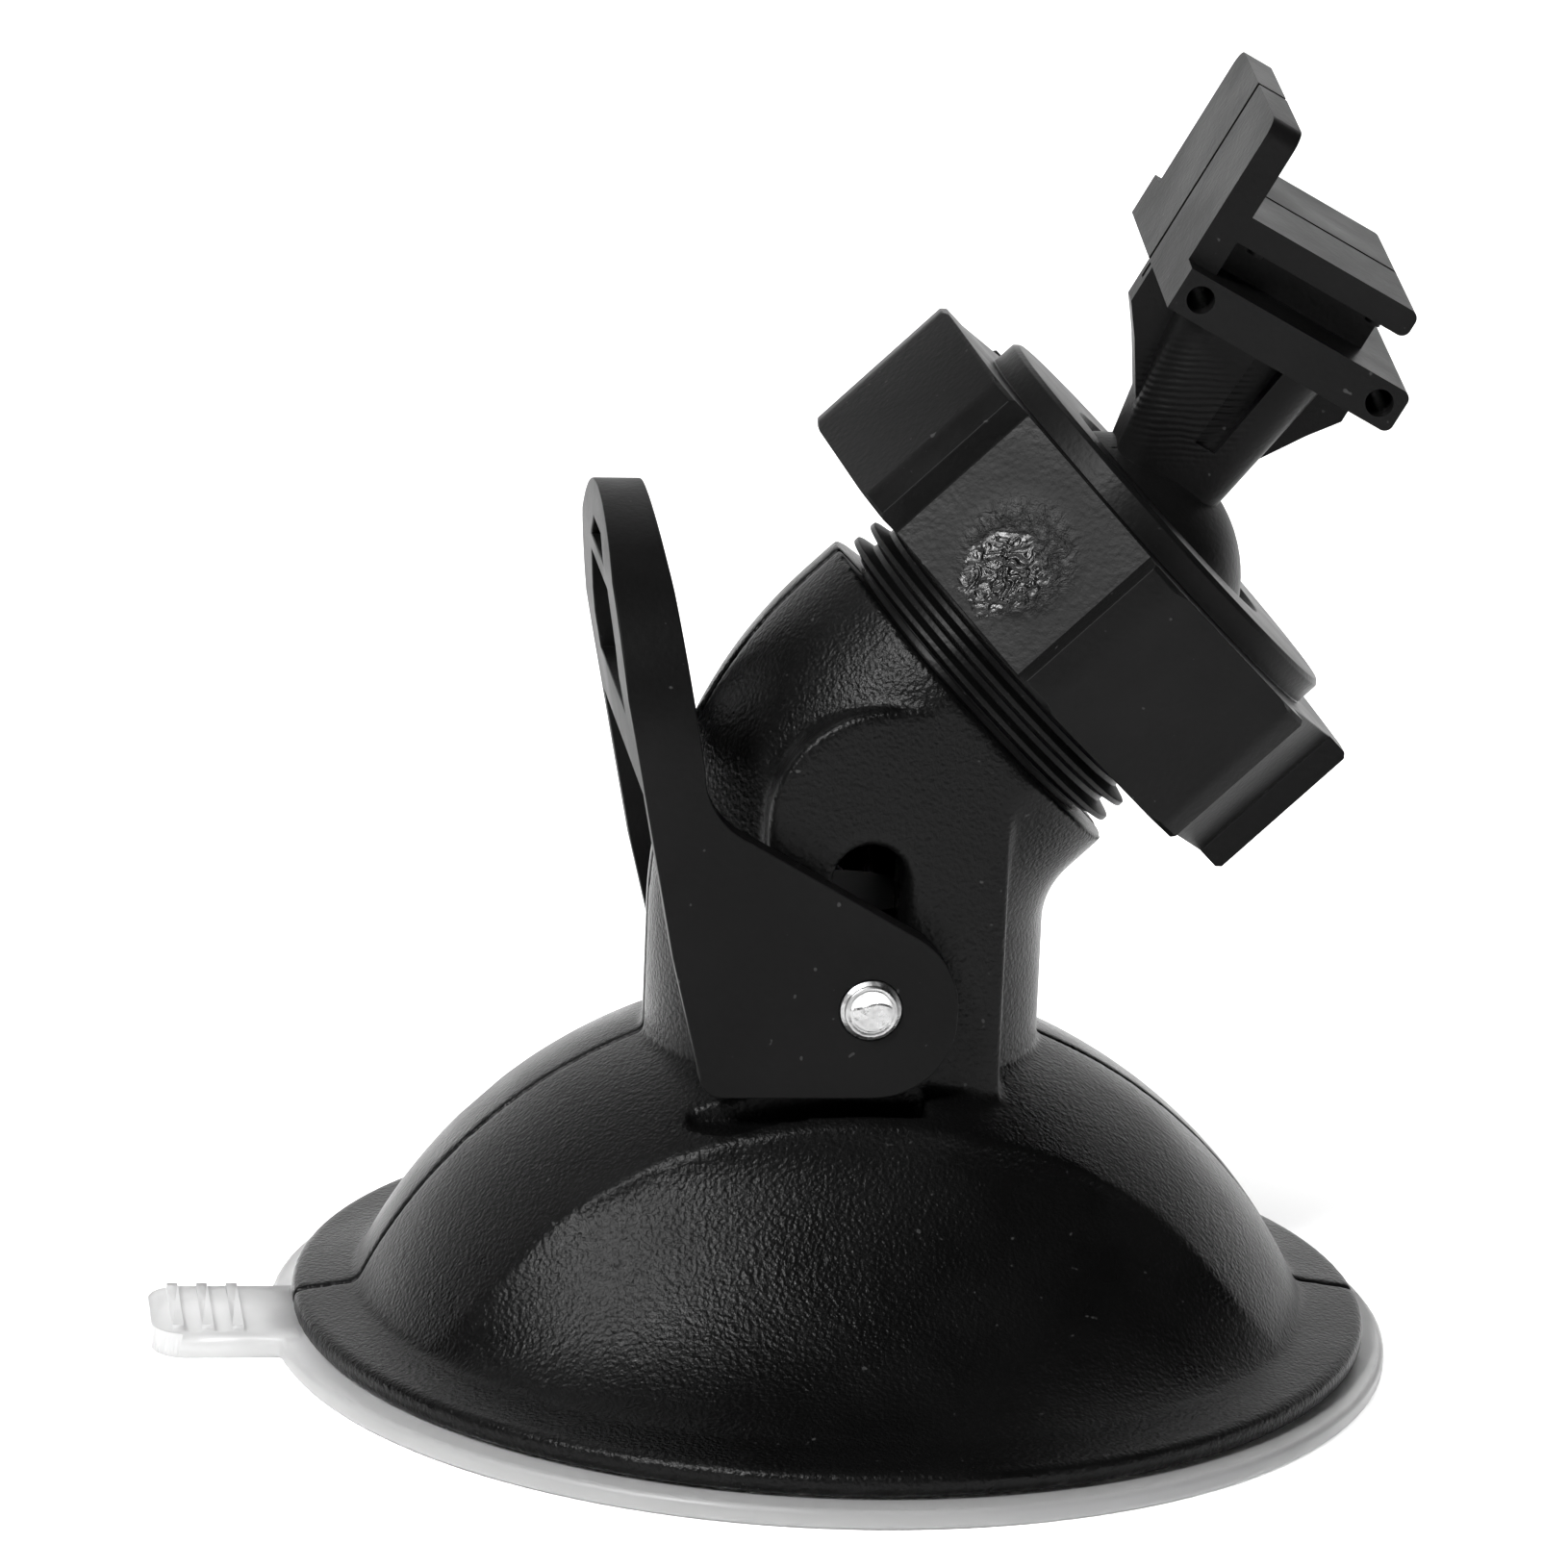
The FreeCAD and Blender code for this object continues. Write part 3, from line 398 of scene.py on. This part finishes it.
def nut_and_socket():
    """Nut and socket; round the broken gate the nut's skin is glossy and scuffed."""
    shade = plastic("nut_black", tone=0.003, rough=0.36, grain=0.014, grain_size=0.34)
    halo = shade.near(on_recess(0.0, GATE_UP + 1.2, GATE_SIDE - 0.2), radius=3.8, soft=0.55)
    scuff = shade.noise(0.7, 4.0, 0.6, 1.2)
    shade.to("Roughness", shade.math("MULTIPLY", shade.gloss, shade.ramp(halo, 0.0, 1.0, 1.0, 0.75)))
    shade.to("Normal", shade.bump(shade.math("MULTIPLY", halo, scuff), 0.1, shade.skin))
    paint(edged("clamp_nut", width=0.16), shade)
    paint(edged("ball_socket", width=0.06), shade)


def gate_scar():
    """Crinkled stub left on the recess where the moulding gate was broken off."""
    reach, steps = 2.7, 110
    sunk, swell, ridges, wrinkles = 0.03, 0.06, 0.16, 0.14
    bm = bmesh.new()
    grid = []
    for i in range(steps + 1):
        row = []
        for k in range(steps + 1):
            u = 2 * i / steps - 1
            v = 2 * k / steps - 1
            spot = Vector((u * 2.2, v * 3.4, 3.0))
            ragged = 1.25 + 0.9 * noise.noise(spot * 0.6)
            inside = max(0.0, 1 - ragged * (u * u + v * v))
            # Blender seeds noise_vector from the clock, so the fine crinkles differ from run to run
            warp = noise.noise_vector(spot) * 0.9
            crease = 1 - abs(noise.noise((spot + warp) * 1.5))
            fine = abs(noise.noise((spot + warp) * 4.0))
            torn = ridges * crease ** 3 + wrinkles * fine
            rise = (swell + torn) * inside - sunk
            row.append(bm.verts.new(on_recess(rise, GATE_UP + reach * u, GATE_SIDE + reach * v)))
        grid.append(row)
    for i in range(steps):
        for k in range(steps):
            u = 2 * (i + 0.5) / steps - 1
            v = 2 * (k + 0.5) / steps - 1
            if u * u + v * v < 0.97:
                bm.faces.new((grid[i][k], grid[i + 1][k], grid[i + 1][k + 1], grid[i][k + 1]))
    bmesh.ops.delete(bm, geom=[v for v in bm.verts if not v.link_faces], context="VERTS")
    new_piece("gate_scar", bm, torn_gloss(), "nut")


def bracket():
    """Bracket, with the tool's chatter marks on the camera side of its stem."""
    bands_per_metre, waver = 900.0, 5.0
    shade = plastic("bracket_black", tone=0.003, rough=0.38, grain=0.014, grain_size=0.3)
    stem_face = Vector((16.4, -3.7, 53.4)) * MM
    zone = shade.near(stem_face, radius=4.6, soft=0.4)
    marks = shade.add("ShaderNodeTexWave", bands_direction="Z")
    shade.plug(shade.place, marks.inputs["Vector"])
    shade.plug(bands_per_metre, marks.inputs["Scale"])
    shade.plug(waver, marks.inputs["Distortion"])
    shade.plug(0.35, marks.inputs["Detail Scale"])
    height = shade.math("MULTIPLY", zone, marks.outputs["Fac"])
    shade.to("Normal", shade.bump(height, 0.03, shade.skin))
    paint(edged("ball_bracket", width=0.14), shade)


def pin_and_hidden_parts():
    metal = bright_metal("zinc")
    for name in ("lever_pin", "spring_washer", "housing_screws"):
        paint(NODES[name], metal)
    inner = plastic("inner_black", tone=0.0015, rough=0.6, grain=0.01, grain_size=0.4,
                    specks=0.2, shine=0.03)
    for name in ("pull_post", "pressure_ring"):
        paint(NODES[name], inner)
    paint(NODES["ball_seat"], rubber())


def pin_face():
    """Near end of the pin: a turned rim and a face left stepped by the shear that cut it."""
    radius, rings, steps = 1.42, 26, 96
    lip_radius, lip_width, flat_radius = 1.12, 0.07, 1.1
    high, middle, drop, dent, edge = 0.06, 0.05, 0.11, 0.05, -0.12
    face_y = min(v.co.y for v in NODES["lever_pin"].data.vertices)
    bm = bmesh.new()
    centre = bm.verts.new((PIN.x, face_y - middle * MM, PIN.z))
    last = [centre] * steps
    for i in range(1, rings + 1):
        r = radius * i / rings
        ring = []
        for k in range(steps):
            angle = 2 * math.pi * k / steps
            x = r * math.cos(angle)
            z = r * math.sin(angle)
            line = 0.34 + 0.14 * math.sin(x * 2.2 + 0.8)
            step = 0.5 + 0.5 * math.tanh((z - line) / 0.035)
            groove = math.exp(-((r - lip_radius) / lip_width) ** 2)
            rough = 0.03 * noise.noise(Vector((x * 2.5, z * 2.5, 1.0)))
            rise = high - drop * step * (r < flat_radius) - dent * groove + rough
            if i == rings:
                rise = edge
            ring.append(bm.verts.new((PIN.x + x * MM, face_y - rise * MM, PIN.z + z * MM)))
        for k in range(steps):
            after = (k + 1) % steps
            if i == 1:
                bm.faces.new((centre, ring[k], ring[after]))
            else:
                bm.faces.new((last[k], ring[k], ring[after], last[after]))
        last = ring
    new_piece("pin_sheared_face", bm, bright_metal("zinc_cut", 0.36, 0.26), "puller")


def cup():
    """Clear cup: a smooth copy of the CAD cup with crisp creases, in place of the CAD node."""
    bm = copied("suction_cup")
    piece = new_piece("clear_cup", bm, clear_vinyl(), None)
    crisp = math.radians(28)
    piece.data.set_sharp_from_angle(angle=crisp)
    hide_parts("suction_cup")
    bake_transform(piece)


def spring():
    """Round-wire spring with closed ends, built in the CAD spring's box in place of the CAD node."""
    low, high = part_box("return_spring")
    wire = 0.5 * MM
    coil = (high.x - low.x) / 2 - wire
    turns, steps = 4.0, 260
    closed_share = 0.12
    curve = bpy.data.curves.new("return_coil", "CURVE")
    curve.dimensions = "3D"
    curve.bevel_depth = wire
    curve.bevel_resolution = 5
    line = curve.splines.new("POLY")
    line.points.add(steps)
    for i in range(steps + 1):
        share = i / steps
        angle = 2 * math.pi * turns * share
        rise = min(max((share - closed_share) / (1 - 2 * closed_share), 0.0), 1.0)
        z = low.z + wire + (high.z - low.z - 2 * wire) * rise
        line.points[i].co = (coil * math.cos(angle), coil * math.sin(angle), z, 1.0)
    soft = bpy.data.objects.new("return_coil", curve)
    bpy.context.scene.collection.objects.link(soft)
    mesh = bpy.data.meshes.new_from_object(soft)
    bpy.data.objects.remove(soft)
    bm = bmesh.new()
    bm.from_mesh(mesh)
    bpy.data.meshes.remove(mesh)
    piece = new_piece("return_coil", bm, bright_metal("spring_steel", 0.5, 0.3), None)
    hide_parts("return_spring")
    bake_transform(piece)


camera()
studio()
housing()
lever()
nut_and_socket()
gate_scar()
bracket()
pin_and_hidden_parts()
pin_face()
cup()
spring()

bpy.context.view_layer.update()
